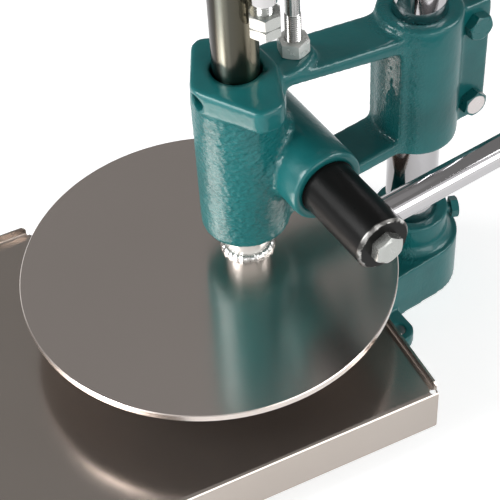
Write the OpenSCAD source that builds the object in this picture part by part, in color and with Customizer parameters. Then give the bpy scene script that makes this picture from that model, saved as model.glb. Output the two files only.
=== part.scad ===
// Pizza dough press with a round press plate, driven by a lever through a rack and pinion.
// Frame: origin on the column axis at bench level, X runs from the ram toward the column and on
// past it, Z is up, and the lever side is at negative Y. Sizes are in millimetres.

/* [Press plate] */
// Diameter of the press plate
disc_d = 240; // [200:1:260]
// Thickness of the press plate
disc_t = 5; // [3:0.5:8]
// Height of the plate's top face above the bench with the ram up
disc_top = 100.5; // [95:0.5:110]
// How far the plate's centre lies from the ram axis, away from the column
disc_set_x = 30.7; // [0:0.1:35]
// How far the plate's centre lies from the ram axis, sideways
disc_set_y = -2.3; // [-5:0.1:5]

/* [Tray] */
// Length of the tray
tray_l = 350; // [330:1:380]
// Width of the tray
tray_w = 254; // [246:1:262]
// Height of the tray's top face above the bench
tray_top = 55.5; // [53:0.5:58]
// Thickness of the tray's sheet
sheet_t = 1.5; // [1:0.1:2]
// Depth of the turned down sides
flange_h = 33; // [28:0.5:38]
// Height of the small lips that are turned up
lip_h = 6; // [4:0.5:9]
// Distance from the plate's centre to the tray's edge on the column side
tray_edge = 96; // [93:0.5:97]
// Length of the lip on the far side, from the end away from the column
far_lip_l = 169; // [150:1:190]
// Angle the tray is turned under the press, as photographed
tray_turn = 6; // [0:0.5:7]
// Width of the return that carries the feet
return_w = 32; // [28:1:40]
// Outside radius of the folds in the tray
fold_r = 3; // [2:0.5:4]

/* [Column and head] */
// Distance between the ram axis and the column axis
throat = 130; // [128:0.5:134]
// Diameter of the column
column_d = 35; // [34:0.5:36]
// Height of the column's top above the bench
column_top = 300; // [285:1:310]
// Height of the head's underside at the ram
hub_bottom = 124; // [122:0.5:126]
// Height of the head's top face at the ram
hub_top = 245; // [243:0.5:247]
// Diameter of the head around the ram
hub_d = 56; // [54:0.5:58]
// Thickness of the wide block at the head's top
block_t = 16; // [14:0.5:18]
// Height of the underside of the column clamp
clamp_bottom = 132.5; // [131:0.5:134]
// Height of the top of the column clamp
clamp_top = 232.5; // [230:0.5:235]
// Diameter of the column clamp
clamp_d = 55; // [54:0.5:57]
// Width of the two arms
arm_w = 35; // [32:0.5:37]
// Thickness of the two arms
arm_t = 10; // [9:0.5:11]
// Width of the slit between the clamp ears
slit = 2; // [1.5:0.1:3]
// Thickness of the pair of clamp ears
ears_w = 24; // [22:0.5:26]
// Reach of the clamp ears from the column axis
ears_l = 47.5; // [46.5:0.5:50]
// Distance of the clamp bolts from the column axis
ear_bolt_x = 35; // [34.5:0.1:36]
// Distance between the two clamp bolts
ear_bolt_gap = 62; // [59:0.5:63]

/* [Ram and rack] */
// Diameter of the ram
ram_d = 28; // [27.5:0.1:28.5]
// Height of the stop bolt's head above the block with the ram up
stop_gap = 38; // [30:0.5:39]
// Tooth module of the rack and the pinion
gear_m = 2; // [1.9:0.05:2.05]
// Number of teeth on the pinion
gear_z = 16; // [15:1:17]
// Play between the teeth, on the pitch line
backlash = 0.14; // [0.1:0.02:0.3]
// Running clearance on the radius of the ram and the pinion shaft
run_gap = 0.05; // [0.03:0.01:0.09]

/* [Pinion and lever] */
// Height of the pinion axis above the bench
pinion_z = 176.3; // [175:0.1:178]
// Diameter of the housing around the pinion
housing_d = 48; // [46:0.5:50]
// Distance from the ram axis to the front face of the pinion housing
housing_l = 52; // [50:0.5:54]
// Diameter of the black boss that carries the lever
boss_d = 35; // [33:0.5:35.5]
// Distance from the ram axis to the end of the boss
boss_end = 108.5; // [106:0.5:110]
// Distance from the ram axis to the lever's centre line
lever_y = 88.5; // [87:0.5:90]
// Diameter of the lever
lever_d = 18; // [16:0.5:19]
// Length of the lever from the pinion axis
lever_l = 300; // [250:5:320]
// Angle of the lever above level with the ram up
lever_rise = 3.6; // [0:0.1:8]
// Diameter of the ball knob
knob_d = 38; // [32:0.5:42]

/* [Crosshead and stops] */
// Height of the crosshead's underside above the bench
cross_z = 345; // [340:1:350]
// Thickness of the crosshead
cross_t = 14; // [12:0.5:16]
// Distance from the ram axis to the guide stud, toward the column
stud_x = 39; // [38:0.5:41]
// Diameter of the guide stud's plain shank
stud_d = 9; // [8.5:0.1:9.2]
// Distance from the ram axis to the stop rod, toward the column
stop_x = 6.5; // [6:0.1:8]
// Distance from the ram axis to the stop rod, toward the lever
stop_y = 23.8; // [23.6:0.1:25]
// Diameter of the stop rod
stop_d = 15; // [14:0.5:17]

/* [Base bracket] */
// Diameter of the bracket's body around the column
base_d = 66; // [64:0.5:68]
// Height of the bracket's body
base_h = 40; // [38:0.5:42]
// Width of the bracket's body toward the tray
body_w = 75; // [72:1:76]
// Diameter of the bracket's collar
collar_d = 51; // [50:0.5:53]
// Height of the bracket's collar above the bench
collar_top = 62.5; // [61:0.5:65]
// Half the width of the bracket where it passes under the tray
foot_w = 39; // [37:0.5:41]
// Reach of the bracket under the tray, from the column axis
foot_l = 225; // [215:1:235]
// Distance of the bench bolt holes from the column axis, toward the tray
lug_x = 46; // [45:0.5:48]
// Distance between the two bench bolt holes
lug_gap = 104; // [102:0.5:106]
// Diameter of the bench bolt holes
lug_bore = 10; // [8:0.5:10.5]
// Thickness of the bench lugs
lug_t = 10; // [8:0.5:12]

/* [Hidden] */
$fn = 96;
// overlap that joins two forms of one piece
e = 0.01;
// clearance on the radius of a hole round its screw
fit = 0.05;
// clearance between faces that must not touch
gap = 0.3;
// length of a cut that goes right through
through = 500;
teal = [0.05, 0.42, 0.42];
steel = [0.75, 0.76, 0.78];
dark = [0.08, 0.08, 0.09];

ram_x = -throat;
ram_r = ram_d / 2;
disc_x = ram_x - disc_set_x;
tray_under = tray_top - sheet_t;
flange_bottom = tray_top - flange_h;

// rack and pinion
pressure = 20;
pitch = PI * gear_m;
pitch_r = gear_m * gear_z / 2;
tip_r = pitch_r + gear_m;
root_r = pitch_r - 1.25 * gear_m;
base_r = pitch_r * cos(pressure);
rack_line = ram_r - gear_m;
rack_flat = rack_line + 0.9 * gear_m;
rack_root = rack_line - 1.25 * gear_m;
pinion_x = ram_x + rack_line + pitch_r;
// reach of the teeth from the ram axis, toward the lever and away from it
gear_front = 18;
gear_back = 16;
journal_r = tip_r + 0.1;
tail_r = 12;
housing_back = 30;
tail_end = housing_back + gap;
// tooth spaces on the ram below and above the pinion axis
rack_below = 2.5;
rack_above = 8.5;

// edge of the black boss, lever's depth in it, knob's start before the lever's end
boss_edge = 1.5;
lever_in = 12;
knob_in = 18;

// upper and lower arm, heights on their centre line at both ends
arm_x1 = ram_x + 26;
arm_x2 = -clamp_d / 2 + 0.5;
arm_top1 = hub_top - 7.7;
arm_top2 = clamp_top - 5.3;
arm_under1 = hub_top - 15.5;
arm_under2 = clamp_top - 15.8;
arm_low1 = hub_bottom + 3.7;
arm_low2 = clamp_bottom + 2.1;
ear_mid = (clamp_bottom + clamp_top) / 2 - 3;
ear_low = clamp_bottom + 1;
ear_high = clamp_top - 7;

// screw threads by their radius, then widths across flats, nut and head heights
m4_r = 2;
m6_r = 3;
m8_r = 4;
m10_r = 5;
m12_r = 6;
af4 = 7;
af6 = 10;
af8 = 13;
af10 = 17;
af10s = 16;
af12 = 19;
nut4_h = 3.2;
nut6_h = 5.2;
nut8_h = 6.5;
nut10_h = 8;
head8_h = 5.3;
head10_h = 6.8;
head12_h = 7.5;

stud_px = ram_x + stud_x;
stop_px = ram_x + stop_x;
cross_top = cross_z + cross_t;
// crosshead: radius round the ram, depth of its bolt in the ram and below the bolt's head
cross_r = 21;
washer12_t = 2.5;
cross_in = 22;
cross_under = cross_t + washer12_t + cross_in;
stop_foot = hub_top + stop_gap;
stop_nut_top = stop_foot + head10_h + nut10_h;
// raised pad under the guide stud's nut
pad_r = 13;
pad_z = hub_top - 5.5;
pad_side = arm_w / 2 - 3;
pad = [[18, -pad_side, 3], [stud_x - 7, -pad_side, 3], [stud_x, 0, pad_r],
    [stud_x - 7, pad_side, 3], [18, pad_side, 3]];
// guide stud: depth in the head, thread that stands above the pad, height of its nut
stud_in = 18;
stud_thread = 28;
lock_nut_h = 10;
// thread of the stop bolt that shows above its nut, and its depth in the rod
stop_thread = 6;
stop_in = 14;

// corners of the head's block from the ram axis: x, y and radius
block = [[-18.8, -2, 11.8], [-5.5, -35.5, 8], [0.3, -34, 9.5], [13, -8, 9], [13, 8, 9],
    [-4, 27.5, 9]];
grub_z = hub_top - 10;
grub_turn = 5;

// bracket: bottom of the column's socket, column screw, table under the tray and its studs
socket_z = 8;
screw_turn = -22;
screw_z = collar_top - 9;
// where the screw's head starts, from the column axis
screw_head = collar_d / 2 + 2.6;
// foot and height of the collar's sloping root, lugs: round end, start
cone_r = base_d / 2 - 2.6;
cone_h = 6;
lug_r = 10.5;
lug_in = 28;
table_t = 10;
table_end = -78;
rib = 8;
wall = 8;
rib_x = -152;
mount_x = [-95, 20 - foot_l];
mount_y = 19;
stud_l = 24;
washer_t = 1.6;
tray_washer_z = tray_under - table_t - washer_t;

// outer tangent of two circles, each given as x, y and radius, outside to the right of travel
function side(a, b) =
    let (dx = b[0] - a[0], dy = b[1] - a[1], l = sqrt(dx * dx + dy * dy))
    let (f = atan2(dy, dx) - acos((a[2] - b[2]) / l), n = [cos(f), sin(f)])
    [[a[0] + a[2] * n[0], a[1] + a[2] * n[1]], [b[0] + b[2] * n[0], b[1] + b[2] * n[1]]];

// solid plate wrapped around circles listed counter clockwise
module belt(c, h) {
    pts = [for (i = [0 : len(c) - 1]) each side(c[i], c[(i + 1) % len(c)])];
    linear_extrude(height = h) polygon(pts);
    for (k = c) translate([k[0], k[1], 0]) cylinder(r = k[2], h = h);
}

// slab cut in the XZ plane, centred on Y
module slab(pts, w) {
    translate([0, w / 2, 0]) rotate([90, 0, 0]) linear_extrude(height = w) polygon(pts);
}

// cylinder along Y from y1 to y2
module ycyl(x, z, y1, y2, r) {
    translate([x, y2, z]) rotate([90, 0, 0]) cylinder(r = r, h = y2 - y1);
}

// hexagon prism with the corners of its top taken off
module hex(af, h, cut = 0.6) {
    r = af / 2 / cos(30);
    intersection() {
        cylinder(r = r, h = h, $fn = 6);
        union() {
            cylinder(r = r + 1, h = h - cut);
            translate([0, 0, h - cut - e]) cylinder(r1 = r, r2 = af / 2 * 0.96, h = cut + e);
        }
    }
}

// plain round bar with a chamfer at both ends
module bar(r, h, c) {
    cylinder(r1 = r - c, r2 = r, h = c);
    translate([0, 0, c]) cylinder(r = r, h = h - 2 * c);
    translate([0, 0, h - c]) cylinder(r1 = r, r2 = r - c, h = c);
}

// nut with its hole, turned by an angle
module nut(af, h, r, turn, cut = 0.6) {
    difference() {
        rotate([0, 0, turn]) hex(af, h, cut);
        translate([0, 0, -1]) cylinder(r = r + fit, h = h + 2);
    }
}

module ring(r1, r2, h) {
    difference() {
        cylinder(r = r1, h = h);
        translate([0, 0, -1]) cylinder(r = r2, h = h + 2);
    }
}

module on_tray() {
    translate([disc_x, disc_set_y, 0]) rotate([0, 0, -tray_turn]) children();
}

tray_x0 = tray_edge - tray_l;
tray_y = tray_w / 2;
far_end = tray_x0 + far_lip_l;
foot_x = tray_x0 + return_w - 14;
foot_y = tray_y - 32;
foot_recess = 8;
foot_head_h = 3;

// quarter of a fold in section, round the origin
module bend() {
    intersection() {
        ring2d(fold_r, fold_r - sheet_t);
        translate([-fold_r - 1, 0]) square([fold_r + 1 + e, fold_r + 1]);
    }
}

module ring2d(r1, r2) {
    difference() {
        circle(r = r1);
        circle(r = r2);
    }
}

// runs a section along X: its x goes inward from the edge, its y goes up from the top face
module along(l) {
    rotate([90, 0, 90]) linear_extrude(height = l) children();
}

// side turned down, with a return along its foot where one is asked for
module turned_side(l, w = 0) {
    foot = w > 0 ? fold_r : 0;
    along(l) {
        translate([fold_r, -fold_r]) bend();
        translate([0, foot - flange_h]) square([sheet_t, flange_h - fold_r - foot + e]);
        if (w > 0) translate([fold_r, fold_r - flange_h]) mirror([0, 1]) bend();
        if (w > 0) translate([fold_r, -flange_h]) square([w - fold_r, sheet_t]);
    }
}

// small lip turned up, with the top corners of its ends taken off
module lip(l) {
    difference() {
        along(l) {
            translate([fold_r, fold_r - sheet_t]) mirror([0, 1]) bend();
            translate([0, fold_r - sheet_t]) square([sheet_t, lip_h - fold_r + sheet_t]);
        }
        for (x = [0, l]) translate([x, sheet_t, lip_h]) rotate([0, 45, 0])
            cube([3, 2 * fold_r, 3], center = true);
    }
}

module tray() color(steel) on_tray() difference() {
    union() {
        translate([tray_x0 + fold_r - e, fold_r - tray_y - e, tray_under])
            cube([tray_l - 2 * fold_r + 2 * e, tray_w - 2 * fold_r + 2 * e, sheet_t]);
        // long side by the lever
        translate([tray_x0 + fold_r, -tray_y, tray_top]) turned_side(tray_l - fold_r - gap);
        // far side: turned down beside the bracket, a lip from there to the end
        translate([tray_edge - fold_r, tray_y, tray_top]) rotate([0, 0, 180])
            turned_side(tray_edge - fold_r - far_end - 8);
        translate([far_end, tray_y, tray_top]) rotate([0, 0, 180]) lip(far_lip_l - fold_r);
        // lip beside the column
        translate([tray_edge, fold_r - tray_y, tray_top]) rotate([0, 0, 90])
            lip(tray_w - 2 * fold_r - 3);
        // end away from the column, its return carries the feet
        translate([tray_x0, tray_y - fold_r, tray_top]) rotate([0, 0, -90])
            turned_side(tray_w - 2 * fold_r, return_w);
    }
    // round reliefs where a lip ends next to a turned down side
    translate([tray_edge - fold_r, fold_r - tray_y, tray_under - 1]) cylinder(r = 2, h = 9);
    translate([far_end + 4, tray_y - fold_r, tray_under - 1]) cylinder(r = 2, h = 9);
    for (s = [-1, 1]) translate([foot_x, s * foot_y, 0])
        cylinder(r = m4_r + fit, h = flange_bottom + 9);
}

module at_feet() {
    on_tray() for (s = [-1, 1]) translate([foot_x, s * foot_y, 0]) children();
}

module feet() color(dark) at_feet() difference() {
    cylinder(r1 = 11, r2 = 9, h = flange_bottom);
    translate([0, 0, -1]) cylinder(r = 5, h = foot_recess + 1);
    cylinder(r = m4_r + fit, h = flange_bottom + 1);
}

module foot_screws() color(steel) at_feet() {
    translate([0, 0, foot_recess - foot_head_h]) cylinder(r = 3.8, h = foot_head_h);
    translate([0, 0, foot_recess - e])
        cylinder(r = m4_r, h = flange_bottom + sheet_t + nut4_h + 1 - foot_recess);
}

module foot_nuts() color(steel) at_feet()
    translate([0, 0, flange_bottom + sheet_t]) nut(af4, nut4_h, m4_r, 0, 0.4);

// the tray is held by welded studs through the bracket's table
module at_studs() {
    for (x = mount_x) for (s = [-1, 1]) translate([x, s * mount_y, 0]) children();
}

module tray_studs() color(steel) at_studs() translate([0, 0, tray_under - stud_l])
    bar(m6_r, stud_l, 0.5);

module tray_washers() color(steel) at_studs() translate([0, 0, tray_washer_z])
    ring(6.5, m6_r + fit, washer_t);

module tray_nuts() color(steel) at_studs() translate([0, 0, tray_washer_z - nut6_h])
    nut(af6, nut6_h, m6_r, 15, 0.5);

module base_bracket() color(teal) difference() {
    union() {
        belt([[0, 0, base_d / 2], [-58, body_w / 2 - 6, 6], [-58, 6 - body_w / 2, 6]], base_h);
        // collar with a sloping root
        cylinder(r = collar_d / 2, h = collar_top);
        translate([0, 0, base_h - 1]) cylinder(r1 = cone_r, r2 = collar_d / 2 - 0.5, h = cone_h);
        // table under the tray
        belt([[12 - foot_l, 15 - foot_w, 12], [table_end - 12, 15 - foot_w, 12],
            [table_end - 12, foot_w - 15, 12], [12 - foot_l, foot_w - 15, 12]], tray_under);
        translate([table_end - 12, 3 - foot_w, 0]) cube([40, 2 * foot_w - 6, base_h]);
        // lugs for the bench bolts
        for (s = [-1, 1]) {
            translate([-lug_x, s * lug_gap / 2, 0]) cylinder(r = lug_r, h = lug_t);
            translate([-lug_x - lug_r, s > 0 ? lug_in : -lug_gap / 2, 0])
                cube([2 * lug_r, lug_gap / 2 - lug_in, lug_t]);
        }
    }
    // socket for the column with a small step round its mouth
    translate([0, 0, socket_z]) cylinder(r = column_d / 2 + fit, h = through);
    translate([0, 0, collar_top - 1.5]) cylinder(r = column_d / 2 + 1, h = 9);
    // hollow underside, open to the bench, with ribs left standing
    for (s = [-1, 1]) {
        pocket(6 - foot_l, rib_x - rib / 2, s, foot_w - 3 - wall, tray_under - table_t);
        pocket(rib_x + rib / 2, table_end - rib, s, foot_w - 3 - wall, tray_under - table_t);
        pocket(table_end, -40, s, foot_w - 5 - wall, base_h - table_t);
        translate([-lug_x, s * lug_gap / 2, -1]) cylinder(d = lug_bore, h = lug_t + 2);
    }
    // tapped hole for the column screw
    rotate([0, 0, screw_turn]) translate([0, 0, screw_z]) rotate([0, 90, 0])
        cylinder(r = m8_r + fit, h = collar_d);
    // holes for the tray's studs
    at_studs() translate([0, 0, tray_under - stud_l]) cylinder(r = 3.6, h = through);
}

// hollow between two ribs, on one side of the middle rib
module pocket(x1, x2, s, y, h) {
    translate([x1, s > 0 ? rib / 2 : -y, -1]) cube([x2 - x1, y - rib / 2, h + 1]);
}

module bracket_screw() color(teal) rotate([0, 0, screw_turn]) translate([0, 0, screw_z])
    rotate([0, 90, 0]) {
        translate([0, 0, column_d / 2]) cylinder(r = m8_r, h = screw_head - column_d / 2 + e);
        translate([0, 0, screw_head]) rotate([0, 0, 10]) hex(af8, head8_h);
    }

module column() color(steel) translate([0, 0, socket_z])
    bar(column_d / 2, column_top - socket_z, 1.5);

// places of the two clamp bolts, the lower one first, each with its own turn
module at_ears(turn = [0, 0]) {
    for (i = [0, 1]) translate([ear_bolt_x, 0, ear_mid + (i - 0.5) * ear_bolt_gap])
        rotate([0, -turn[i], 0]) children();
}

module head_casting() color(teal) difference() {
    union() {
        // around the ram
        translate([ram_x, 0, hub_bottom])
            cylinder(r = hub_d / 2, h = hub_top - block_t - hub_bottom + 1);
        // wide block at the top that the stop lands on
        translate([ram_x, 0, hub_top - block_t]) belt(block, block_t);
        // around the pinion
        ycyl(pinion_x, pinion_z, -housing_l, housing_back, housing_d / 2);
        // web under the pinion housing
        slab([[ram_x, arm_low1], [ram_x, pinion_z], [pinion_x + 16, pinion_z - 10],
            [pinion_x + 16, arm_low1 + 6]], 22);
        // upper arm and lower arm
        slab([[ram_x, arm_top1], [ram_x, arm_under1], [arm_x1, arm_under1],
            [arm_x2, arm_under2], [0, arm_under2], [0, arm_top2], [arm_x2, arm_top2],
            [arm_x1, arm_top1]], arm_w);
        slab([[ram_x, arm_low1], [arm_x1, arm_low1], [arm_x2, arm_low2], [0, arm_low2],
            [0, arm_low2 + arm_t], [arm_x2, arm_low2 + arm_t], [arm_x1, arm_low1 + arm_t],
            [ram_x, arm_low1 + arm_t]], arm_w);
        // raised pad under the guide stud
        translate([ram_x, 0, arm_under1 + 2]) belt(pad, pad_z - arm_under1 - 2);
        // column clamp with its flat inner wall and ears
        translate([0, 0, clamp_bottom]) cylinder(r = clamp_d / 2, h = clamp_top - clamp_bottom);
        translate([-25, -arm_w / 2, arm_low2]) cube([25, arm_w, arm_top2 - arm_low2]);
        slab([[10, ear_low], [38, ear_low], [ears_l, ear_low + 12], [ears_l, ear_high - 3],
            [ears_l - 3, ear_high], [10, ear_high]], ears_w);
    }
    // bore of the ram with its wider mouth and small notch
    translate([ram_x, 0, 0]) cylinder(r = ram_r + run_gap, h = through);
    translate([ram_x, 0, hub_top - 7]) cylinder(r = ram_r + 1.6, h = 9);
    translate([ram_x + 12, -10, hub_top - 4]) cylinder(r = 2.2, h = 9);
    // bore of the pinion, stepped at the back
    ycyl(pinion_x, pinion_z, -housing_l - 1, gear_back + gap, journal_r + run_gap);
    ycyl(pinion_x, pinion_z, gear_back, housing_back + 1, tail_r + run_gap);
    // bore of the column and the slit through the ears
    cylinder(r = column_d / 2 + fit, h = through);
    translate([10, -slit / 2, 0]) cube([ears_l, slit, through]);
    translate([0, 0, clamp_top - 2])
        cylinder(r1 = column_d / 2 + fit, r2 = column_d / 2 + 2.5, h = 2 + e);
    at_ears() ycyl(0, 0, -ears_w, ears_w, m10_r + gap);
    // tapped holes of the guide stud and of the grub screw
    translate([stud_px, 0, pad_z - 2 * arm_t]) cylinder(r = m10_r + fit, h = 3 * arm_t);
    at_grub(0) cylinder(r = m10_r + fit, h = hub_d);
}

// out along the grub screw's axis, from the ram axis
module at_grub(l) {
    translate([ram_x, 0, grub_z]) rotate([0, 0, grub_turn]) rotate([0, -90, 0])
        translate([0, 0, l]) children();
}

module grub_screw() color(dark) at_grub(ram_r + gap) difference() {
    bar(m10_r, 10, 0.6);
    translate([0, 0, 6]) cylinder(r = 2.9, h = 9, $fn = 6);
}

module head_bolts() color(steel) at_ears([20, 45]) {
    translate([0, -ears_w / 2, 0]) rotate([90, 0, 0]) hex(af10s, head10_h, 1);
    translate([0, ears_w / 2 + 12, 0]) rotate([90, 0, 0]) bar(m10_r, ears_w + 12 + e, 0.6);
}

module head_nuts() color(steel) at_ears() translate([0, ears_w / 2, 0]) rotate([-90, 0, 0])
    nut(af10, nut10_h, m10_r, 20);

module guide_stud() color(steel) translate([stud_px, 0, 0]) {
    translate([0, 0, pad_z - stud_in]) bar(m10_r, stud_in + stud_thread, 0.8);
    translate([0, 0, pad_z]) cylinder(r = stud_d / 2, h = cross_top + gap - pad_z);
    translate([0, 0, cross_top]) bar(m8_r, washer_t + 2 * nut8_h + 4, 0.6);
}

module stud_lock_nut() color(steel) translate([stud_px, 0, pad_z])
    nut(af10, lock_nut_h, m10_r, 46);

module stud_top_washer() color(steel) translate([stud_px, 0, cross_top + gap])
    ring(8, m8_r + fit, washer_t);

module stud_top_nuts() color(steel) translate([stud_px, 0, cross_top + gap + washer_t]) {
    nut(af8, nut8_h, m8_r, 0, 0.5);
    translate([0, 0, nut8_h]) nut(af8, nut8_h, m8_r, 22, 0.5);
}

// space between two rack teeth, cut across the ram
module rack_space(z) {
    o = ram_r - rack_line + 1;
    d = rack_line - rack_root;
    w = (pitch / 2 + backlash / 2) / 2;
    t = tan(pressure);
    slab([[ram_x + rack_root, z - w + d * t], [ram_x + rack_line + o, z - w - o * t],
        [ram_x + rack_line + o, z + w + o * t], [ram_x + rack_root, z + w - d * t]], 3 * ram_r);
}

module ram() color(steel) difference() {
    translate([ram_x, 0, disc_top]) bar(ram_r, cross_z - disc_top, 1);
    translate([ram_x + rack_flat, -ram_r, pinion_z - (rack_below + 0.5) * pitch])
        cube([ram_r, ram_d, (rack_below + rack_above + 1) * pitch]);
    for (i = [-rack_below : rack_above]) rack_space(pinion_z + i * pitch);
    // tapped hole for the crosshead bolt
    translate([ram_x, 0, cross_z - cross_in - 4]) cylinder(r = m12_r + fit, h = through);
}

module press_disc() color(steel) translate([disc_x, disc_set_y, disc_top - disc_t])
    bar(disc_d / 2, disc_t, 0.5);

module neck_weld() color(steel) translate([ram_x, 0, disc_top]) difference() {
    rotate_extrude() polygon([[ram_r - 1.2, 0], [ram_r + 3.2, 0], [ram_r + 3.4, 1],
        [ram_r + 2.9, 2.4], [ram_r + 1.8, 3.6], [ram_r + 0.4, 4.2], [ram_r - 1.2, 4.2]]);
    translate([0, 0, -e]) cylinder(r1 = ram_r - 1 - e, r2 = ram_r, h = 1 + e);
    translate([0, 0, 1 - e]) cylinder(r = ram_r, h = 9);
}

module crosshead() color(teal) difference() {
    translate([ram_x, 0, cross_z])
        belt([[0, 0, cross_r], [stop_x, -stop_y, 13], [stud_x, 0, 12]], cross_t);
    translate([ram_x, 0, 0]) cylinder(r = m12_r + gap, h = through);
    translate([stop_px, -stop_y, 0]) cylinder(r = m10_r + fit, h = through);
    translate([stud_px, 0, 0]) cylinder(r = stud_d / 2 + run_gap, h = through);
}

module crosshead_washer() color(steel) translate([ram_x, 0, cross_top])
    ring(12, m12_r + gap, washer12_t);

module crosshead_bolt() color(steel) translate([ram_x, 0, cross_top + washer12_t]) {
    rotate([0, 0, 14]) hex(af12, head12_h, 0.7);
    translate([0, 0, -cross_under]) bar(m12_r, cross_under + e, 0.8);
}

module at_stop(z) {
    translate([stop_px, -stop_y, z]) children();
}

module stop_rod() color(steel) difference() {
    union() {
        at_stop(stop_nut_top + stop_thread)
            bar(stop_d / 2, cross_z - stop_nut_top - stop_thread, 1);
        at_stop(cross_z - 2) bar(m10_r, cross_t + nut10_h + 5, 0.8);
    }
    at_stop(stop_nut_top) cylinder(r = m10_r + fit, h = stop_thread + stop_in + 6);
}

module stop_rod_nut() color(steel) at_stop(cross_top) nut(af10, nut10_h, m10_r, 40);

module stop_lock_nut() color(steel) at_stop(stop_foot + head10_h) nut(af10, nut10_h, m10_r, 30);

module stop_bolt() color(steel) at_stop(stop_foot) {
    translate([0, 0, head10_h]) rotate([180, 0, 30]) hex(af10, head10_h);
    translate([0, 0, head10_h - e]) bar(m10_r, nut10_h + stop_thread + stop_in, 0.8);
}

// involute of the base circle, at the radius r, as an angle
function inv_at(r) = let (a = acos(min(1, base_r / r))) tan(a) * 180 / PI - a;
half_tooth = (90 - backlash / pitch * 180) / gear_z;
function flank(r) = half_tooth + inv_at(pitch_r) - inv_at(max(r, base_r));
flank_r = [for (k = [0 : 6]) base_r + (tip_r - base_r) * k / 6];
function polar(r, a) = [r * cos(a), r * sin(a)];
function tooth(a) = concat([polar(root_r, a - flank(base_r))],
    [for (r = flank_r) polar(r, a - flank(r))],
    [for (k = [6 : -1 : 0]) polar(flank_r[k], a + flank(flank_r[k]))],
    [polar(root_r, a + flank(base_r))]);

// places on the pinion: out along its axis from the ram axis, and along the lever
module at_pinion(y) {
    translate([pinion_x, 0, pinion_z]) rotate([90, 0, 0]) translate([0, 0, y]) children();
}

module on_lever(l) {
    translate([pinion_x, -lever_y, pinion_z]) rotate([0, 90 - lever_rise, 0])
        translate([0, 0, l]) children();
}

module pinion_shaft() color(dark) difference() {
    union() {
        at_pinion(-gear_back) linear_extrude(height = gear_front + gear_back + e)
            polygon([for (i = [0 : gear_z - 1]) each tooth(180 + (i + 0.5) * 360 / gear_z)]);
        at_pinion(gear_front) cylinder(r = journal_r, h = housing_l - gear_front);
        at_pinion(housing_l - e)
            cylinder(r = boss_d / 2, h = boss_end - boss_edge - housing_l + e);
        at_pinion(boss_end - boss_edge)
            cylinder(r1 = boss_d / 2, r2 = boss_d / 2 - boss_edge, h = boss_edge);
        at_pinion(-tail_end) cylinder(r = tail_r, h = tail_end - gear_back + e);
    }
    // cross hole for the lever and tapped holes for the two screws
    on_lever(-lever_in) cylinder(r = lever_d / 2 + fit, h = boss_d);
    at_pinion(lever_y) cylinder(r = m10_r + fit, h = boss_d);
    at_pinion(-tail_end - 1) cylinder(r = m8_r + fit, h = 20);
}

module pinion_washer() color(steel) at_pinion(-tail_end - 3) ring(16, m8_r + fit, 3);

module pinion_screw() color(steel) at_pinion(-tail_end - 3) {
    rotate([180, 0, 0]) hex(af8, head8_h, 0.5);
    translate([0, 0, -e]) bar(m8_r, 16 + e, 0.6);
}

module lever() color(steel) {
    on_lever(-lever_in) bar(lever_d / 2, lever_in + lever_l - knob_in, 1);
    on_lever(lever_l - knob_in - 2) bar(m10_r, 26, 0.8);
}

module lever_bolt() color(steel) {
    at_pinion(boss_end) rotate([0, 0, 55]) hex(af10, head10_h);
    at_pinion(lever_y + lever_d / 2) bar(m10_r, boss_end - lever_y - lever_d / 2 + e, 0.8);
}

module lever_knob() color(dark) on_lever(lever_l - knob_in) difference() {
    intersection() {
        translate([0, 0, knob_d / 2 - 3]) sphere(d = knob_d);
        cylinder(r = knob_d, h = knob_d);
    }
    translate([0, 0, -1]) cylinder(r = m10_r + fit, h = 26.5);
}

tray();
tray_studs();
tray_washers();
tray_nuts();
feet();
foot_screws();
foot_nuts();
base_bracket();
bracket_screw();
column();
head_casting();
head_bolts();
head_nuts();
grub_screw();
guide_stud();
stud_lock_nut();
stud_top_washer();
stud_top_nuts();
ram();
press_disc();
neck_weld();
crosshead();
crosshead_washer();
crosshead_bolt();
stop_rod();
stop_rod_nut();
stop_lock_nut();
stop_bolt();
pinion_shaft();
pinion_washer();
pinion_screw();
lever();
lever_bolt();
lever_knob();
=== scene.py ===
import math
from collections import namedtuple
from functools import partial

import bmesh
import bpy
import numpy as np
from mathutils import Matrix, Vector, noise


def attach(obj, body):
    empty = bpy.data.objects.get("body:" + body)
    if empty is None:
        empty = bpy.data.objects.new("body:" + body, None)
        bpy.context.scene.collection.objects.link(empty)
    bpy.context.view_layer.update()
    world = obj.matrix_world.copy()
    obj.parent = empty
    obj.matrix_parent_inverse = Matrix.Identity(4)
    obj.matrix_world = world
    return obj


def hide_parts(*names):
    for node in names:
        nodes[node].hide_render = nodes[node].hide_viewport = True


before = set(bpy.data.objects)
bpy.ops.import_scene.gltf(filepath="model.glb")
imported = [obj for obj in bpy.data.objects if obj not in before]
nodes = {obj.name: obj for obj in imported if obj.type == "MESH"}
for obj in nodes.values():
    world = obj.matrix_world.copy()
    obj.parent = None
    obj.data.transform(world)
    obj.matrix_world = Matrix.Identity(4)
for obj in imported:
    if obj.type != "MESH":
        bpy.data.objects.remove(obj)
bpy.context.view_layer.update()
scene = bpy.context.scene

# camera of the photograph, in the part's frame
CAMERA_AT = Vector((-0.4477, -0.5751, 0.7867))
CAMERA_AZIMUTH = math.radians(-29.01)
CAMERA_ELEVATION = math.radians(46.54)
CAMERA_ROLL = math.radians(-3.78)
FOCAL_PIXELS = 1480.23
IMAGE_PIXELS = 500
SENSOR_MM = 36.0
CLIP_START = 0.05
CLIP_END = 50

# horizontal direction from the ram to the camera
FRONT = (-0.484, -0.875)

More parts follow.
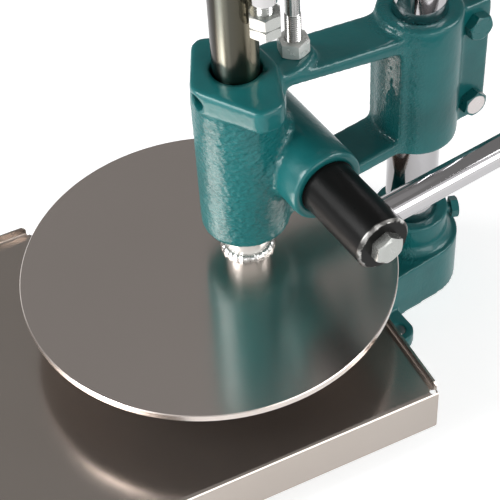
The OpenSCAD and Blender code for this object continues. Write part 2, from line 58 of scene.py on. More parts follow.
# places and sizes of the part, in metres, as its source has them
COLUMN_R = 0.0175
RAM_X = -0.130
RAM_R = 0.014
DISC_TOP = 0.1005
PINION_X = -0.102
PINION_Z = 0.1763
PINION_R = 0.0181
HUB_TOP = 0.245
HUB_R = 0.028
HOUSING_R = 0.024
CLAMP_R = 0.0275
LUG_X = -0.046
LUG_Y = 0.052
LUG_HOLE_R = 0.005
EAR_X = 0.035
EAR_Y = 0.012
EAR_BOLTS_Z = (0.1485, 0.2105)
BOSS_END = 0.1085
LEVER_Y = 0.0885
STUD_X = -0.091
PAD_Z = 0.2395
CROSS_TOP = 0.359
STOP_X = -0.1235
STOP_Y = -0.0238
STOP_BOLT_Z = 0.283
STOP_ROD_Z = 0.3038
STOP_ROD_R = 0.0075
TRAY_UNDER = 0.054
TRAY_STUDS_X = (-0.095, -0.205)
TRAY_STUDS_Y = (-0.019, 0.019)
LEVER_RISE_DEGREES = 3.6


def linked(name, data):
    """New object in the scene."""
    made = bpy.data.objects.new(name, data)
    scene.collection.objects.link(made)
    return made


def add_camera():
    azimuth, elevation, roll = CAMERA_AZIMUTH, CAMERA_ELEVATION, CAMERA_ROLL
    back = Vector((math.sin(azimuth) * math.cos(elevation),
                   -math.cos(azimuth) * math.cos(elevation), math.sin(elevation)))
    right = Vector((math.cos(azimuth), math.sin(azimuth), 0))
    up = back.cross(right)
    right, up = (math.cos(roll) * right + math.sin(roll) * up,
                 -math.sin(roll) * right + math.cos(roll) * up)
    data = bpy.data.cameras.new("camera")
    data.sensor_width = SENSOR_MM
    data.lens = FOCAL_PIXELS * SENSOR_MM / IMAGE_PIXELS
    data.clip_start = CLIP_START
    data.clip_end = CLIP_END
    camera = linked("camera", data)
    turn = Matrix((right, up, back)).transposed().to_4x4()
    camera.matrix_world = Matrix.Translation(CAMERA_AT) @ turn
    scene.camera = camera


class Shader:
    """Adds linked nodes to a new material."""

    def __init__(self, name):
        self.material = bpy.data.materials.new(name)
        self.material.use_nodes = True
        self.tree = self.material.node_tree
        self.bsdf = self.tree.nodes["Principled BSDF"]
        self.out = self.tree.nodes["Material Output"]
        self.coords = self.tree.nodes.new("ShaderNodeTexCoord").outputs["Object"]

    def put(self, socket, value):
        if isinstance(value, bpy.types.NodeSocket):
            self.tree.links.new(value, socket)
        else:
            socket.default_value = value

    def fill(self, node, **values):
        """Links or sets inputs by name, with underscores for the spaces."""
        for key, value in values.items():
            self.put(node.inputs[key.replace("_", " ")], value)
        return node

    def node(self, kind, **values):
        return self.fill(self.tree.nodes.new(kind), **values)

    def set(self, **values):
        self.fill(self.bsdf, **values)

    def scaled(self, *scale):
        return self.node("ShaderNodeMapping", Vector=self.coords, Scale=scale).outputs["Vector"]

    def noise(self, scale, detail=3.0, rough=0.5, at=None):
        return self.node("ShaderNodeTexNoise", Vector=at or self.coords, Scale=scale,
                         Detail=detail, Roughness=rough).outputs["Fac"]

    def ramp(self, value, *stops):
        made = self.node("ShaderNodeValToRGB", Fac=value)
        points = made.color_ramp.elements
        while len(points) < len(stops):
            points.new(0.5)
        for point, (place, color) in zip(points, stops):
            point.position = place
            point.color = (*color, 1)
        return made.outputs["Color"]

    def gray(self, value, low, high, start=0.0, end=1.0):
        """low where value is start or less, rising to high at end."""
        return self.node("ShaderNodeMapRange", Value=value, From_Min=start, From_Max=end,
                         To_Min=low, To_Max=high).outputs["Result"]

    def math(self, operation, a, b=0.0):
        made = self.tree.nodes.new("ShaderNodeMath")
        made.operation = operation
        self.put(made.inputs[0], a)
        self.put(made.inputs[1], b)
        return made.outputs[0]

    def swing(self, value, reach):
        """A value from 0 to 1 as a swing round 0."""
        return self.math("MULTIPLY", self.math("SUBTRACT", value, 0.5), reach)

    def distance(self, a, b, at_a, at_b):
        """Distance of the point (a, b) from (at_a, at_b)."""
        return self.math("SQRT", self.math("ADD", self.math("POWER", self.math("ADD", a, -at_a), 2.0),
                                           self.math("POWER", self.math("ADD", b, -at_b), 2.0)))

    def band(self, value, middle, half, soft):
        """1 within half of middle, falling to 0 over soft."""
        off = self.math("ABSOLUTE", self.math("ADD", value, -middle))
        return self.gray(off, 1.0, 0.0, half, half + soft)

    def mix(self, factor, a, b):
        made = self.tree.nodes.new("ShaderNodeMix")
        made.data_type = "RGBA"
        self.put(made.inputs["Factor"], factor)
        for socket, value in ((made.inputs[6], a), (made.inputs[7], b)):
            self.put(socket, (*value, 1) if isinstance(value, tuple) else value)
        return made.outputs[2]

    def bump(self, *layers):
        """Each layer is a height, the distance it stands for and its strength."""
        normal = None
        for height, distance, strength in layers:
            made = self.node("ShaderNodeBump", Height=height, Distance=distance, Strength=strength)
            if normal:
                self.put(made.inputs["Normal"], normal)
            normal = made.outputs["Normal"]
        self.set(Normal=normal)

    def split(self):
        made = self.node("ShaderNodeSeparateXYZ", Vector=self.coords)
        return made.outputs["X"], made.outputs["Y"], made.outputs["Z"]


def dress(material, *names):
    """Gives CAD nodes a material."""
    for name in names:
        mesh = nodes[name].data
        mesh.materials.clear()
        mesh.materials.append(material)


def new_piece(name, mesh, material, body, node):
    """Adds a piece that stands for a CAD node."""
    mesh.materials.clear()
    mesh.materials.append(material)
    piece = linked(name, mesh)
    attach(piece, body)
    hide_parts(node)


def smooth_shaded(mesh):
    mesh.polygons.foreach_set("use_smooth", [True] * len(mesh.polygons))
    return mesh


# materials

def coarse_zones(look):
    """Rough sand skin on the hub round the ram and on the clamp's side toward it."""
    x, y, z = look.split()
    hub = look.math("MULTIPLY", look.band(look.distance(x, y, RAM_X, 0.0), HUB_R, 0.0015, 0.003),
                    look.gray(z, 1.0, 0.0, HUB_TOP - 0.02, HUB_TOP - 0.014))
    side = look.math("MULTIPLY", look.gray(x, 1.0, 0.0, -0.017, -0.011),
                     look.band(look.distance(x, y, 0.0, 0.0), CLAMP_R, 0.005, 0.004))
    rugged = look.math("MULTIPLY", hub, look.noise(290, 1, 0.4, look.scaled(1, 1, 1.6)))
    grainy = look.math("MULTIPLY", side, look.noise(700, 1, 0.5))
    return [(rugged, 0.0016, 1.0), (grainy, 0.0010, 1.0)]


def teal_paint(name, texture=1.0, coarse=False):
    """Thick glossy paint, over a sand cast skin where coarse is set."""
    look = Shader(name)
    shades = look.ramp(look.noise(38, 2), (0.3, (0.004, 0.120, 0.124)), (0.7, (0.008, 0.155, 0.158)))
    look.set(Base_Color=shades, Roughness=look.gray(look.noise(480, 3, 0.6), 0.36, 0.46),
             Specular_IOR_Level=0.18, Coat_Weight=0.36, Coat_Roughness=0.11)
    skin = look.noise(430, 3, 0.55, look.scaled(1, 1, 0.75))
    layers = coarse_zones(look) if coarse else []
    layers += [(skin, 0.0004, 0.25 * texture), (look.noise(1100, 2), 0.0002, 0.25 * texture)]
    look.bump(*layers)
    return look.material


def satin(name, color, dark, rough, across, metal=1.0, drawn=0.0):
    """Rolled sheet: faint clouds and a fine grain. Where drawn is set, reflections are drawn out
    along FRONT."""
    look = Shader(name)
    grain = look.noise(50, 4, 0.6, look.scaled(*across))
    cloud = look.gray(look.noise(7, 2), 0, 1, 0.3, 0.7)
    look.set(Base_Color=look.mix(cloud, dark, color), Metallic=metal,
             Roughness=look.gray(grain, *rough))
    if drawn:
        line = look.node("ShaderNodeCombineXYZ", X=-FRONT[0], Y=-FRONT[1], Z=0.0)
        look.set(Anisotropic=drawn, Tangent=line.outputs[0])
    look.bump((grain, 0.00002, 0.04))
    return look.material


def tray_sheet():
    return satin("tray_sheet", (0.43, 0.385, 0.35), (0.40, 0.355, 0.32), (0.15, 0.20),
                 across=(40, 1.2, 1), metal=0.9)


def plate_steel():
    return satin("plate_steel", (0.61, 0.55, 0.515), (0.59, 0.53, 0.495), (0.20, 0.23),
                 across=(1, 40, 1), drawn=0.88)


# height over which the ram's clean lower end turns into its painted reflection streaks
CLEAN_END_Z = (0.124, 0.134)


def ground_bar(name):
    """Ground ram: painted reflections that run up the bar, dark at both edges as seen from FRONT with
    two bright streaks between, and a clean lower end.
    """
    look = Shader(name)
    x, y, z = look.split()
    across = look.math("ADD", look.math("MULTIPLY", look.math("ADD", x, -RAM_X), -FRONT[1]),
                       look.math("MULTIPLY", y, FRONT[0]))
    waver = look.swing(look.noise(30, 2, 0.5, look.scaled(1, 1, 0.5)), 0.05)
    place = look.math("ADD", look.gray(across, 0, 1, -RAM_R, RAM_R), waver)
    # painted reflections: dark at both edges as seen from FRONT, bright a quarter and four fifths of the
    # way across
    painted_reflections = look.ramp(
        place, (0.00, (0.02, 0.017, 0.014)), (0.08, (0.025, 0.021, 0.016)), (0.16, (0.04, 0.038, 0.030)),
        (0.25, (0.25, 0.262, 0.23)), (0.34, (0.15, 0.147, 0.12)), (0.43, (0.075, 0.073, 0.060)),
        (0.70, (0.070, 0.064, 0.046)), (0.80, (0.26, 0.235, 0.175)), (0.89, (0.20, 0.18, 0.13)),
        (1.00, (0.05, 0.04, 0.03)))
    grain = look.noise(60, 4, 0.6, look.scaled(14, 14, 0.3))
    end = look.gray(z, 1.0, 0.0, *CLEAN_END_Z)
    look.set(Base_Color=look.mix(end, painted_reflections, (0.74, 0.72, 0.69)),
             Metallic=look.gray(end, 1.0, 0.35), Roughness=look.gray(grain, 0.14, 0.26))
    look.bump((grain, 0.00005, 0.2))
    return look.material


# pinion shaft: where along its axis the bare teeth end, the worn chamfer comes in and the end
# face starts, and how far from the axis the chamfer comes in
TEETH_TO = 0.018
CHAMFER_ALONG = (0.1060, 0.1071)
FACE_FROM = 0.1083
CHAMFER_OUT = (0.0152, 0.0162)


def boss_finish(name):
    """Black oxide with its end chamfer worn bright, the worn ring drawn narrower toward the lower right
    as painted shade; the teeth behind are bare steel.
    """
    look = Shader(name)
    x, y, z = look.split()
    along = look.math("MULTIPLY", y, -1.0)
    corner = look.math("SUBTRACT", look.math("ADD", z, -PINION_Z), look.math("ADD", x, -PINION_X))
    # painted shade: the real worn ring is trimmed narrower toward the lower right, the side away from
    # the light
    painted_shade_trim = look.math("MULTIPLY", look.gray(corner, 1.0, 0.0, -0.018, 0.014), 0.0010)
    uneven = look.math("ADD", look.distance(x, z, PINION_X, PINION_Z),
                       look.swing(look.noise(260, 4, 0.65), 0.0060))
    chamfer = look.math("MULTIPLY", look.gray(look.math("SUBTRACT", uneven, painted_shade_trim), 0, 1, *CHAMFER_OUT),
                        look.gray(along, 0, 1, *CHAMFER_ALONG))
    bare = look.math("MAXIMUM", chamfer, look.math("LESS_THAN", along, TEETH_TO))
    black = look.mix(look.math("GREATER_THAN", along, FACE_FROM),
                     (0.0060, 0.0060, 0.0060), (0.0040, 0.0040, 0.0038))
    worn = look.mix(look.gray(look.noise(110, 2), 0, 1, 0.42, 0.60),
                    (0.07, 0.068, 0.065), (0.62, 0.61, 0.59))
    look.set(Base_Color=look.mix(bare, black, worn), Metallic=bare,
             Roughness=look.gray(look.noise(400, 3), 0.24, 0.36), Specular_IOR_Level=0.12)
    look.bump((look.noise(1200, 2), 0.0001, 0.2), (look.noise(300, 3), 0.0003, 0.15))
    return look.material


# lower clamp bolt: radius over which its rubbed face ends, and where the face lies
RUBBED_R = (0.0066, 0.0072)
RUBBED_BEYOND_Y = -0.0178


def clamp_bolt(name):
    """Clamp bolts: the upper one painted over, the lower one's face rubbed bright inside a
    painted rim."""
    look = Shader(name)
    x, y, z = look.split()
    wear = look.math("ADD", look.distance(x, z, EAR_X, EAR_BOLTS_Z[0]),
                     look.swing(look.noise(350, 2), 0.0012))
    bare = look.math("MULTIPLY", look.gray(wear, 1, 0, *RUBBED_R),
                     look.math("LESS_THAN", y, RUBBED_BEYOND_Y))
    look.set(Base_Color=look.mix(bare, (0.006, 0.14, 0.143), (0.62, 0.58, 0.57)), Metallic=bare,
             Roughness=look.gray(look.noise(350, 3), 0.22, 0.36), Specular_IOR_Level=0.4)
    look.bump((look.noise(500, 3), 0.0003, 0.4))
    return look.material


def bright_bar(name, color=(0.46, 0.45, 0.46)):
    """Chromed bar."""
    look = Shader(name)
    look.set(Base_Color=(*color, 1), Metallic=1.0,
             Roughness=look.gray(look.noise(220, 3), 0.05, 0.11))
    look.bump((look.noise(500, 2), 0.00005, 0.1))
    return look.material


def zinc(name, color=(0.50, 0.51, 0.49), rough=(0.18, 0.32), metal=0.85):
    """Plated steel, a little cloudy."""
    look = Shader(name)
    cloud = look.noise(180, 2)
    look.set(Base_Color=look.mix(cloud, tuple(0.85 * c for c in color), color), Metallic=metal,
             Roughness=look.gray(cloud, *rough))
    look.bump((look.noise(900, 2), 0.00008, 0.2))
    return look.material


def weld_metal(name):
    """Bright weld with a mottled skin."""
    look = Shader(name)
    look.set(Base_Color=look.mix(look.noise(500, 3), (0.40, 0.40, 0.39), (0.66, 0.66, 0.64)),
             Metallic=0.9, Roughness=look.gray(look.noise(700, 2), 0.18, 0.38))
    look.bump((look.noise(1100, 3), 0.0003, 0.5))
    return look.material


def plain(name, color, rough, gloss=0.5):
    """Black steel, plastic and rubber."""
    look = Shader(name)
    look.set(Base_Color=(*color, 1), Specular_IOR_Level=gloss,
             Roughness=look.gray(look.noise(400, 3), rough - 0.05, rough + 0.07))
    look.bump((look.noise(1200, 2), 0.0001, 0.2))
    return look.material


# painted castings: the CAD solid with its edges rounded and its skin uneven

# the foot stays sharp up to the first height and is set flat up to the second
FLAT_FOOT = 0.0022
FOOT_SNAP = 0.0007
SOFTEN_PASSES = 3
ROUNDING_PASSES = 45

# axes that bores run along
ALONG_PINION = 1
UP = 2

# bores: play over the shaft, width of the relief at the ram's top and how much tighter it is in
# front, how near to a bore the skin is set on it, and over what distance it turns uneven again
FIT = 0.00005
RELIEF = 0.0016
RELIEF_TIGHTER = 0.0012
BORE_REACH = 0.0016
BORE_FADE = 0.003


def points_and_normals(mesh):
    points = np.empty(len(mesh.vertices) * 3)
    normals = np.empty(len(mesh.vertices) * 3)
    mesh.vertices.foreach_get("co", points)
    mesh.vertex_normals.foreach_get("vector", normals)
    return points.reshape(-1, 3), normals.reshape(-1, 3)


def applied(work):
    """Mesh of a work object with its modifiers applied; the object itself goes."""
    graph = bpy.context.evaluated_depsgraph_get()
    ready = bpy.data.meshes.new_from_object(work.evaluated_get(graph))
    spent = work.data
    bpy.data.objects.remove(work)
    bpy.data.meshes.remove(spent)
    return ready


def eased(mesh, passes, where):
    """Mesh smoothed at the points that where accepts."""
    work = linked("work", mesh)
    ease = work.modifiers.new("ease", "SMOOTH")
    ease.factor = 0.5
    ease.iterations = passes
    group = work.vertex_groups.new(name="soft")
    group.add([v.index for v in mesh.vertices if where(v.co)], 1.0, "REPLACE")
    ease.vertex_group = "soft"
    return applied(work)


def off_floor(p):
    return p.z > FLAT_FOOT


def rounded(node, voxel, well_rounded):
    """Remeshed copy of a CAD solid with rounded edges, but for the one it stands on."""
    work = linked("work", nodes[node].data.copy())
    remesh = work.modifiers.new("remesh", "REMESH")
    remesh.mode = "VOXEL"
    remesh.voxel_size = voxel
    mesh = eased(applied(work), SOFTEN_PASSES, off_floor)
    return eased(mesh, ROUNDING_PASSES, well_rounded) if well_rounded else mesh


def seat(points, normals, axis, at, radius, tighter=0.0):
    """Puts the skin of a bore back on its radius, reduced toward FRONT by as much as tighter.
    Returns 0 for points near the radius and more with distance, up to 1."""
    flat = [i for i in range(3) if i != axis]
    off = points[:, flat] - np.array(at)
    far = np.hypot(off[:, 0], off[:, 1])
    out = off / np.maximum(far, 1e-9)[:, None]
    inward = -(normals[:, flat] * out).sum(1)
    hit = (np.abs(far - radius) < BORE_REACH) & (inward > 0.5)
    toward = np.clip(out[hit] @ np.array(FRONT), 0, 1)[:, None] ** 0.5
    points[np.ix_(hit, flat)] = np.array(at) + out[hit] * (radius - tighter * toward)
    return np.clip((np.abs(far - radius) - BORE_REACH) / BORE_FADE, 0, 1)


def cast(name, node, voxel, bores, skin, material, body, well_rounded=None):
    mesh = rounded(node, voxel, well_rounded)
    points, normals = points_and_normals(mesh)
    free = np.ones(len(points))
    for bore in bores:
        free = np.minimum(free, seat(points, normals, *bore))
    height = np.array([skin(Vector(point)) for point in points])
    free *= points[:, 2] > FLAT_FOOT
    points += normals * (height * free)[:, None]
    points[points[:, 2] < FOOT_SNAP, 2] = 0
    mesh.vertices.foreach_set("co", points.ravel())
    smooth_shaded(mesh)
    mesh.update()
    new_piece(name, mesh, material, body, node)


def fade(value, start, end):
    """1 at start and before, 0 at end and beyond."""
    return min(1.0, max(0.0, (end - value) / (end - start)))


# where the corners of the clamp's flat inner wall are
WALL_EDGE_X = (-0.0285, -0.012)
WALL_EDGE_Y = 0.008
WALL_EDGE_Z = (0.148, 0.212)


def wall_edge(p):
    """Corners of the clamp's flat inner wall, which the pattern maker rounded well."""
    return (WALL_EDGE_X[0] < p.x < WALL_EDGE_X[1] and abs(p.y) > WALL_EDGE_Y
            and WALL_EDGE_Z[0] < p.z < WALL_EDGE_Z[1])


# the head's skin: how rough each place is, then the waves per metre and height of each layer
ROUGH_ALL = 0.25
ROUGH_HUB = 0.75
ROUGH_CLAMP = 0.5
HUB_SKIN_TOP = HUB_TOP - 0.016
CLAMP_SKIN_Z = (0.140, 0.220)
COARSE_WAVES = 240
COARSE_HEIGHT = 0.00015
RIPPLE_WAVES = (400, 400, 520)
RIPPLE_HEIGHT = 0.00024
BEAD_WAVES = 380
BEAD_HEIGHT = 0.0006
BEAD_UNEVEN = 0.0009


def head_skin(p):
    """Uneven skin of the sand casting, roughest round the ram and beside the clamp, with a bead
    where the pinion housing runs into the ram's."""
    ram = math.hypot(p.x - RAM_X, p.y)
    pinion = math.hypot(p.x - PINION_X, p.z - PINION_Z)
    clamp = math.hypot(p.x, p.y)
    rough = ROUGH_ALL
    if p.z < HUB_SKIN_TOP:
        rough += ROUGH_HUB * fade(abs(ram - HUB_R), 0.003, 0.006)
    if CLAMP_SKIN_Z[0] < p.z < CLAMP_SKIN_Z[1]:
        rough += ROUGH_CLAMP * fade(abs(clamp - CLAMP_R), 0.004, 0.007) * fade(p.x, -0.018, -0.010)
    coarse = noise.noise(p * COARSE_WAVES) * COARSE_HEIGHT
    waves = Vector([c * n for c, n in zip(p, RIPPLE_WAVES)])
    ripple = noise.noise(waves) * RIPPLE_HEIGHT
    seam = fade(abs(ram - HUB_R) + abs(pinion - HOUSING_R), 0.0015, 0.005) if p.y < 0 else 0.0
    bead = seam * (BEAD_HEIGHT + BEAD_UNEVEN * noise.noise(p * BEAD_WAVES))
    return (coarse + ripple) * rough + bead


def fine_skin(p):
    """Slightly uneven skin of the bracket and the crosshead."""
    return noise.noise(p * 120) * 0.00005 + noise.noise(p * 350) * 0.00004


def add_castings():
    paint = teal_paint("teal_paint", coarse=True)
    column_bore = (UP, (0, 0), COLUMN_R + FIT)
    cast("head_cast", "head_casting", voxel=0.0010,
         bores=[column_bore,
                (UP, (RAM_X, 0), RAM_R + FIT),
                (UP, (RAM_X, 0), RAM_R + RELIEF, RELIEF_TIGHTER),
                (ALONG_PINION, (PINION_X, PINION_Z), PINION_R + FIT)],
         skin=head_skin, material=paint, body="stand", well_rounded=wall_edge)
    cast("bracket_cast", "base_bracket", voxel=0.0011,
         bores=[column_bore, (UP, (LUG_X, LUG_Y), LUG_HOLE_R), (UP, (LUG_X, -LUG_Y), LUG_HOLE_R)],
         skin=fine_skin, material=paint, body="stand")
    cast("crosshead_cast", "crosshead", voxel=0.0012, bores=[], skin=fine_skin, material=paint,
         body="ram_group")


# screws and nuts with their threads and chamfers

# metric threads, each with the width across flats of its hexagon
Thread = namedtuple("Thread", "radius flats pitch")
M6 = Thread(0.003, 0.010, 0.001)
M8 = Thread(0.004, 0.013, 0.00125)
M10 = Thread(0.005, 0.017, 0.0015)

# depth of a thread as a share of its pitch, and the length over which it runs out
THREAD_DEPTH = 0.6
THREAD_LEAD = 0.0008
RINGS_PER_TURN = 8

HEXAGON_POINTS = 72
HEXAGON_LIP = 0.0005
HEAD_H = 0.0068
NUT_H = 0.008
LOCK_NUT_H = 0.010
M8_NUT_H = 0.0065
SHARP_ANGLE = math.radians(24)

# where the lengths of studs, bolts and rod start and end, from the pad, the crosshead's top, the
# tray's underside or their own foot
STUD_THREAD_FROM = 0.018
STUD_THREAD_TO = 0.028
STUD_SHANK_FROM = 0.0284
STUD_SHANK_R = 0.0045
STUD_SHANK_TO = 0.0003
STUD_TOP_FROM = 0.0004
STUD_TOP_TO = 0.0186
STUD_WASHER_TOP = 0.0019
STOP_BOLT_TO = 0.0345
STOP_ROD_TO = 0.0412
STOP_ROD_EDGE = 0.001
STOP_THREAD_FROM = 0.0402
STOP_THREAD_TO = 0.0682
TRAY_THREAD_FROM = 0.024
TRAY_THREAD_TO = 0.002
TRAY_FOOT = 0.0019
TRAY_NUT_FROM = 0.0168
TRAY_NUT_TO = 0.0116
LEVER_THREAD_FROM = -0.0108
LEVER_THREAD_TO = -0.0001


def ring(z, radius, depth=0.0, pitch=1.0):
    """One ring of a turned body: height, radius, and depth and pitch of the thread on it."""
    return z, radius, depth, pitch


def thread_rings(low, high, thread):
    """Rings of a threaded length that runs out at both ends."""
    depth = THREAD_DEPTH * thread.pitch
    count = max(2, round((high - low) / thread.pitch * RINGS_PER_TURN))
    rings = []
    for i in range(count + 1):
        z = low + (high - low) * i / count
        taper = min(1.0, (z - low) / THREAD_LEAD, (high - z) / THREAD_LEAD)
        rings.append(ring(z, thread.radius - depth * (1 - taper), depth * taper, thread.pitch))
    return rings


def plain_rings(low, high, radius):
    return [ring(low, radius), ring(high, radius)]


def eased_rings(low, high, radius, edge):
    return [ring(low, radius - edge), ring(low + edge, radius),
            ring(high - edge, radius), ring(high, radius - edge)]


def join_loops(bm, loops):
    """Faces between each loop of points and the next."""
    for a, b in zip(loops, loops[1:]):
        for k in range(len(a)):
            j = (k + 1) % len(a)
            bm.faces.new((a[k], a[j], b[j], b[k]))


def cap_loops(bm, loops):
    bm.faces.new(list(reversed(loops[0])))
    bm.faces.new(loops[-1])


def turned(bm, rings, turns=36):
    """Closed body of revolution; a ring may carry a thread."""
    loops = []
    for z, radius, depth, pitch in rings:
        loop = []
        for k in range(turns):
            angle = 2 * math.pi * k / turns
            phase = (z / pitch - k / turns) % 1.0 if depth else 0.0
            r = radius - depth * (1 - abs(2 * phase - 1))
            loop.append(bm.verts.new((r * math.cos(angle), r * math.sin(angle), z)))
        loops.append(loop)
    join_loops(bm, loops)
    cap_loops(bm, loops)


def corner_reach(flats, angle):
    """How far a hexagon's edge is from its middle at an angle."""
    return flats / 2 / math.cos((angle + math.pi / 6) % (math.pi / 3) - math.pi / 6)


def hexagon(bm, flats, low, high, turn, bore=0.0, foot_cut=True, crown=0.95):
    """Hexagon whose corners are cut by a cone at its top, and at its foot too where that is set.
    turn is in degrees, and crown is the cone's small end as a share of flats."""
    count = HEXAGON_POINTS
    face = flats / 2 * crown
    corner = [corner_reach(flats, 2 * math.pi * k / count) for k in range(count)]
    drop = [(c - face) * 0.5 for c in corner]

    def loop(radii, heights):
        made = []
        for k, (r, z) in enumerate(zip(radii, heights)):
            angle = 2 * math.pi * k / count + math.radians(turn)
            made.append(bm.verts.new((r * math.cos(angle), r * math.sin(angle), z)))
        return made

    def circle(radius, height):
        return loop([radius] * count, [height] * count)

    if foot_cut:
        loops = [circle(face, low), loop(corner, [low + d for d in drop])]
    else:
        loops = [loop(corner, [low] * count)]
    loops += [loop(corner, [high - d for d in drop]), circle(face, high)]
    if bore:
        loops += [circle(bore + HEXAGON_LIP, high), circle(bore, high - HEXAGON_LIP),
                  circle(bore, low + HEXAGON_LIP), circle(bore + HEXAGON_LIP, low)]
        loops.append(loops[0])
        join_loops(bm, loops)
    else:
        join_loops(bm, loops)
        cap_loops(bm, loops)


def nut(thread, low, high, turn):
    return partial(hexagon, flats=thread.flats, low=low, high=high, turn=turn, bore=thread.radius)


def rod(*lengths, turns=36):
    """Turned part whose lengths, each a list of rings, follow one another."""
    return partial(turned, rings=sum(lengths, []), turns=turns)


def finished(bm, name):
    """Mesh of a bmesh, with its faces turned outward and shaded smooth."""
    bmesh.ops.recalc_face_normals(bm, faces=bm.faces)
    mesh = bpy.data.meshes.new(name)
    bm.to_mesh(mesh)
    bm.free()
    return smooth_shaded(mesh)


def fastener(name, node, parts, places, material, body, tilt=Matrix()):
    """One object for a node: its parts are drawn at the origin, then set at each place."""
    bm = bmesh.new()
    for place in places:
        one = bmesh.new()
        for part in parts:
            part(one)
        one.transform(Matrix.Translation(place) @ tilt)
        mesh = bpy.data.meshes.new("part")
        one.to_mesh(mesh)
        one.free()
        bm.from_mesh(mesh)
        bpy.data.meshes.remove(mesh)
    mesh = finished(bm, name)
    mesh.set_sharp_from_angle(angle=SHARP_ANGLE)
    new_piece(name, mesh, material, body, node)


def add_guide_stud(steel, threaded):
    """Stud screwed into the head, its lock nut and the two nuts that stop the crosshead."""
    fastener("guide_stud_cut", "guide_stud",
             [rod(thread_rings(PAD_Z - STUD_THREAD_FROM, PAD_Z + STUD_THREAD_TO, M10),
                  plain_rings(PAD_Z + STUD_SHANK_FROM, CROSS_TOP + STUD_SHANK_TO, STUD_SHANK_R),
                  thread_rings(CROSS_TOP + STUD_TOP_FROM, CROSS_TOP + STUD_TOP_TO, M8))],
             [(STUD_X, 0, 0)], threaded, "stand")
    dull = zinc("zinc_dull", (0.78, 0.79, 0.76), rough=(0.20, 0.32), metal=0.5)
    fastener("stud_nut_cut", "stud_lock_nut", [nut(M10, 0, LOCK_NUT_H, turn=46)],
             [(STUD_X, 0, PAD_Z)], dull, "stand")
    fastener("stud_top_nuts_cut", "stud_top_nuts",
             [nut(M8, 0, M8_NUT_H, turn=0), nut(M8, M8_NUT_H, 2 * M8_NUT_H, turn=22)],
             [(STUD_X, 0, CROSS_TOP + STUD_WASHER_TOP)], steel, "stand")


def add_stop(steel):
    """Stop rod with its lock nut and bolt below, and the nut above the crosshead."""
    fastener("stop_bolt_cut", "stop_bolt",
             [partial(hexagon, flats=M10.flats, low=0, high=HEAD_H, turn=30),
              rod(thread_rings(HEAD_H, STOP_BOLT_TO, M10))],
             [(STOP_X, STOP_Y, STOP_BOLT_Z)], steel, "ram_group")
    fastener("stop_nut_cut", "stop_lock_nut", [nut(M10, 0, NUT_H, turn=30)],
             [(STOP_X, STOP_Y, STOP_BOLT_Z + HEAD_H)], steel, "ram_group")
    fastener("stop_rod_cut", "stop_rod",
             [rod(eased_rings(0, STOP_ROD_TO, STOP_ROD_R, STOP_ROD_EDGE)),
              rod(thread_rings(STOP_THREAD_FROM, STOP_THREAD_TO, M10))],
             [(STOP_X, STOP_Y, STOP_ROD_Z)], bright_bar("stop_chrome", (0.54, 0.53, 0.53)),
             "ram_group")
    fastener("stop_rod_nut_cut", "stop_rod_nut", [nut(M10, 0, NUT_H, turn=40)],
             [(STOP_X, STOP_Y, CROSS_TOP)], steel, "ram_group")


def add_tray_screws(steel, threaded):
    """Weld studs under the tray and the nuts that hold it on the bracket."""
    places = [(x, y, 0) for x in TRAY_STUDS_X for y in TRAY_STUDS_Y]
    fastener("tray_studs_cut", "tray_studs",
             [rod(thread_rings(TRAY_UNDER - TRAY_THREAD_FROM, TRAY_UNDER - TRAY_THREAD_TO, M6),
                  plain_rings(TRAY_UNDER - TRAY_FOOT, TRAY_UNDER, M6.radius))],
             places, threaded, "stand")
    fastener("tray_nuts_cut", "tray_nuts",
             [nut(M6, TRAY_UNDER - TRAY_NUT_FROM, TRAY_UNDER - TRAY_NUT_TO, turn=15)],
             places, steel, "stand")


def add_lever_bolt():
    """Bolt in the end of the boss, which clamps the lever."""
    face = zinc("zinc_face", (0.47, 0.48, 0.46), rough=(0.20, 0.32), metal=0.75)
    fastener("lever_bolt_cut", "lever_bolt",
             [partial(hexagon, flats=M10.flats, low=0, high=HEAD_H, turn=55, foot_cut=False, crown=0.86),
              rod(thread_rings(LEVER_THREAD_FROM, LEVER_THREAD_TO, M10))],
             [(PINION_X, -BOSS_END, PINION_Z)], face, "lever_group",
             tilt=Matrix.Rotation(math.radians(90), 4, "X"))


def add_head_nuts():
    """Painted nuts of the two clamp bolts."""
    paint = teal_paint("painted_nut", texture=0.4)
    fastener("head_nuts_cut", "head_nuts", [nut(M10, 0, NUT_H, turn=20)],
             [(EAR_X, EAR_Y, z) for z in EAR_BOLTS_Z], paint, "stand",
             tilt=Matrix.Rotation(math.radians(-90), 4, "X"))


def add_fasteners():
    steel = zinc("zinc_cut")
    threaded = zinc("zinc_thread", (0.44, 0.44, 0.43), rough=(0.16, 0.26))
    add_guide_stud(steel, threaded)
    add_stop(steel)
    add_tray_screws(steel, threaded)
    add_lever_bolt()
    add_head_nuts()


# weld round the foot of the ram

WELD_R = 0.0030
WELD_OUT = 0.0007
WELD_UP = 0.0008
WELD_FLAT = 0.95
WELD_UNEVEN = 0.0010
WELD_LAPS = 24
LAP_WANDER = 3.0
LAP_WIDER = 0.00013
LAP_HIGHER = 0.00018
WELD_POINTS = 216
WELD_SIDES = 12


